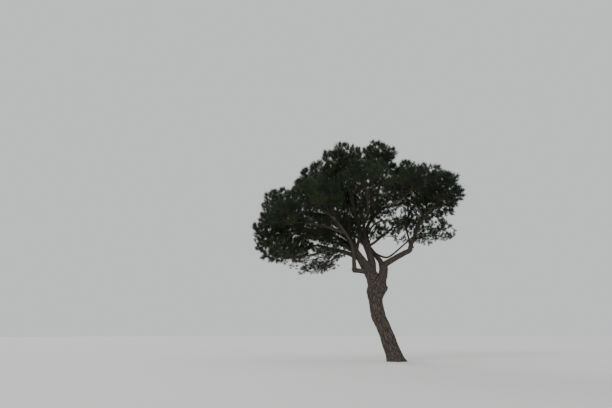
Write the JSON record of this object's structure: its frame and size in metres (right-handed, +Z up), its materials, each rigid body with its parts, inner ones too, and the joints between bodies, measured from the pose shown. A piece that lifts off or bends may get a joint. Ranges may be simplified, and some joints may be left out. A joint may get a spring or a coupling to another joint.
{
  "type": "pine tree",
  "caption": "Mature umbrella-crowned pine with a leaning trunk, a low fork, long spreading limbs and flat-topped masses of needled twigs.",
  "frame": {"origin": "centre of the flat cut under the trunk, at ground level", "axes": "+Z up; the trunk leans towards -X; the picture is taken from the -Y side"},
  "size_m": [8.5617, 7.2268, 8.9163],
  "materials": {
    "bark": "rough plated pine bark, grey-brown with darker fissures",
    "needles": "dark pine green needles in dense tufts, matt"
  },
  "bodies": {
    "root": {"trunk": "bark", "stem": "bark", "right_fork_limb": "bark", "right_limb_lower": "bark", "right_limb_upper": "bark", "left_leader": "bark", "right_leader": "bark", "centre_leader": "bark", "elbow_limb_lower": "bark", "elbow_limb_upper": "bark", "left_limb": "bark", "left_side_limb": "bark", "low_left_limb": "bark", "low_inner_limb": "bark", "drooping_limb": "bark", "front_side_limb": "bark", "back_limb": "bark", "back_left_limb": "bark", "low_back_limb": "bark", "far_back_limb": "bark", "low_far_limb": "bark", "front_right_limb": "bark", "back_right_limb": "bark", "right_inner_limb": "bark", "right_middle_limb": "bark", "right_front_limb": "bark", "cross_limb": "bark", "low_cross_limb": "bark", "right_low_limb": "bark", "top_left_foliage": "needles", "top_right_foliage": "needles", "left_shoulder_foliage": "needles", "right_shoulder_foliage": "needles", "right_lobe_foliage": "needles", "left_upper_foliage": "needles", "left_lobe_foliage": "needles", "left_low_foliage": "needles", "low_inner_foliage": "needles", "drooping_foliage": "needles", "front_left_foliage": "needles", "front_side_foliage": "needles", "back_foliage": "needles", "low_back_foliage": "needles", "back_left_foliage": "needles", "far_back_foliage": "needles", "low_far_foliage": "needles", "front_foliage": "needles", "front_right_foliage": "needles", "back_right_foliage": "needles", "right_inner_foliage": "needles", "right_low_back_foliage": "needles", "right_low_foliage": "needles", "right_middle_foliage": "needles", "right_front_foliage": "needles"}
  },
  "joints": []
}
